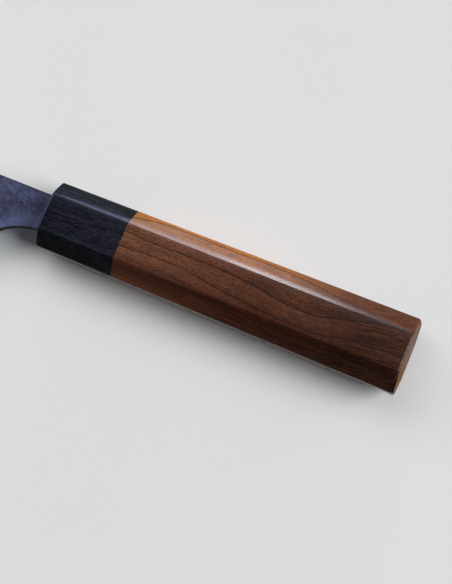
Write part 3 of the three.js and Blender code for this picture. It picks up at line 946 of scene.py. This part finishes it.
# %% [markdown]
# The two finishes meet where the grinding begins, along a slightly ragged line at a set height above the
# edge. Scale is hardly a metal to look at and ground iron is one, so the line also switches the metallic
# value, the roughness and the relief. The core gets a material of its own with the same recipe.

# %% Mix the blade finish
# Height of the ground bevel above the edge at the tip and at the heel, in millimetres
GROUND_HEIGHT = (13.0, 18.0)
RAGGED_START = 0.65
HEEL_MARGIN = 0.8


def blade_finish(name):
    finish, tree, shader, place = new_finish(name)
    apart = node(tree, "SeparateXYZ", {0: place})
    along, across = apart.outputs[0], apart.outputs[1]
    above = maths(tree, "SUBTRACT", across, wave(tree, along, [tuple(point) for point in edge_line]))
    scale_colour, scale_rough, lumps = forge_scale(tree, place, along)
    ground_colour, ground_rough, scratch = ground_metal(tree, place, above)

    limit = spread(tree, along, edge_line[0].x, edge_line[-1].x, *GROUND_HEIGHT)
    ragged = maths(tree, "MULTIPLY_ADD", lumps, -1.0, maths(tree, "ADD", limit, RAGGED_START))
    below = spread(tree, maths(tree, "SUBTRACT", ragged, above), 0.05, 0.3)
    behind_heel = maths(tree, "GREATER_THAN", along, HEEL_X + HEEL_MARGIN)
    ground = maths(tree, "MAXIMUM", maths(tree, "SUBTRACT", below, behind_heel), 0.0)
    kept = maths(tree, "SUBTRACT", 1.0, ground)
    rough = maths(tree, "MULTIPLY_ADD", ground, ground_rough, maths(tree, "MULTIPLY", kept, scale_rough))
    relief = maths(tree, "MULTIPLY_ADD", kept, lumps, maths(tree, "MULTIPLY", scratch, 0.12))
    fill(shader, {"Base Color": mix(tree, ground, scale_colour, ground_colour),
                  "Metallic": spread(tree, ground, 0, 1, 0.1, 1.0), "Specular IOR Level": 0.2,
                  "Roughness": rough, "Normal": bump(tree, relief, 0.035, 0.7)})
    print(name, len(tree.nodes), "nodes")
    return finish


clad_finish = blade_finish("scale_and_ground_iron")
core_finish = blade_finish("ground_steel")
core.data.materials.append(core_finish)
for side in (left_side, right_side):
    side.data.materials.append(clad_finish)

# %% [markdown]
# The narrow faces of the neck and the choil, and of the spine above them, were never touched by a stone.
# They keep a sooty scale that is almost black, so they get a finish of their own, by face.

# %% Blacken the rim of the blade
RIM_FROM = FRONT_X - 26.4 * MM
SPINE_RIM_FACING = 0.6
CHOIL_RIM_FACING = 0.88
SOOT_COLOURS = [(0.35, (0.011, 0.009, 0.008)), (0.65, (0.032, 0.027, 0.025))]


def is_rim(face):
    """True for a narrow face of the blade, and for most of the easing at the choil."""
    return abs(face.normal.z) < (SPINE_RIM_FACING if face.normal.y > 0 else CHOIL_RIM_FACING)


soot, tree, shader, place = new_finish("sooty_scale")
crust = noise(tree, place, (1.6, 1.2, 0.8), detail=5, roughness=0.7)
fill(shader, {"Base Color": ramp(tree, crust, SOOT_COLOURS),
              "Roughness": maths(tree, "MULTIPLY_ADD", crust, 0.3, 0.55),
              "Specular IOR Level": 0.08, "Normal": bump(tree, crust, 0.05, 0.8)})
for layer in (core, left_side, right_side):
    layer.data.materials.append(soot)
    rim_faces = [face for face in layer.data.polygons if is_rim(face) and face.center.x > RIM_FROM]
    for face in rim_faces:
        face.material_index = 1
    print(layer.name, len(rim_faces), "rim faces")

# %% [markdown]
# ## What is hidden
# The sealant in the mouth, the two halves of the dowel and the resin round the tang keep their CAD
# shapes. They hardly show, but a knife that is taken apart should still look like one, so each gets a
# finish of its own. The sealant is black and smeared with a finger.

# %% Mix the sealant
sealant, tree, shader, place = new_finish("black_sealant")
smear = noise(tree, place, (2.5, 1.2, 1.2), detail=4)
fill(shader, {"Base Color": ramp(tree, smear, [(0.3, grey(0.006)), (0.7, grey(0.016))]),
              "Roughness": maths(tree, "MULTIPLY_ADD", smear, 0.25, 0.35),
              "Normal": bump(tree, smear, 0.08, 0.6)})
print("sealant:", len(tree.nodes), "nodes")

# %% [markdown]
# The dowel is bare softwood: broad pale bands along the stick, with fine threads over them.

# %% Mix the dowel wood
BAND_COLOURS = [(0.3, (0.42, 0.27, 0.13)), (0.5, (0.56, 0.40, 0.22)), (0.7, (0.62, 0.46, 0.27))]
THREAD_SHADES = [(0.3, grey(0.78)), (0.65, grey(1.0))]

dowel_wood, tree, shader, place = new_finish("bare_softwood")
thread = noise(tree, place, (8, 0.16, 0.16), detail=3, roughness=0.65)
colour = ramp(tree, noise(tree, place, (60, 1.6, 1.6), detail=2), BAND_COLOURS)
fill(shader, {"Base Color": tone_by(tree, colour, thread, THREAD_SHADES),
              "Roughness": maths(tree, "MULTIPLY_ADD", thread, 0.2, 0.55),
              "Normal": bump(tree, thread, 0.05, 0.6)})
print("dowel wood:", len(tree.nodes), "nodes")

# %% [markdown]
# The resin set hard and glossy, with a swirl from the stirring.

# %% Mix the resin
RESIN_COLOURS = [(0.3, (0.40, 0.20, 0.045)), (0.7, (0.58, 0.34, 0.09))]

resin, tree, shader, place = new_finish("amber_resin")
swirl = noise(tree, place, (9, 3, 3), detail=3)
fill(shader, {"Base Color": ramp(tree, swirl, RESIN_COLOURS),
              "Roughness": maths(tree, "MULTIPLY_ADD", swirl, 0.2, 0.16),
              "Normal": bump(tree, swirl, 0.06, 0.5)})
print("resin:", len(tree.nodes), "nodes")

# %% [markdown]
# A CAD node keeps its mesh, so its finish is changed in the slots that it already has.

# %% Put the finishes on the CAD nodes
HIDDEN_FINISHES = {"mouth_seal": sealant, "left_dowel_half": dowel_wood, "right_dowel_half": dowel_wood,
                   "tang_adhesive": resin}
for name, finish in HIDDEN_FINISHES.items():
    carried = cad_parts[name]
    for slot in carried.material_slots:
        slot.material = finish
    print(name, "has", len(carried.material_slots), "slot with", finish.name)
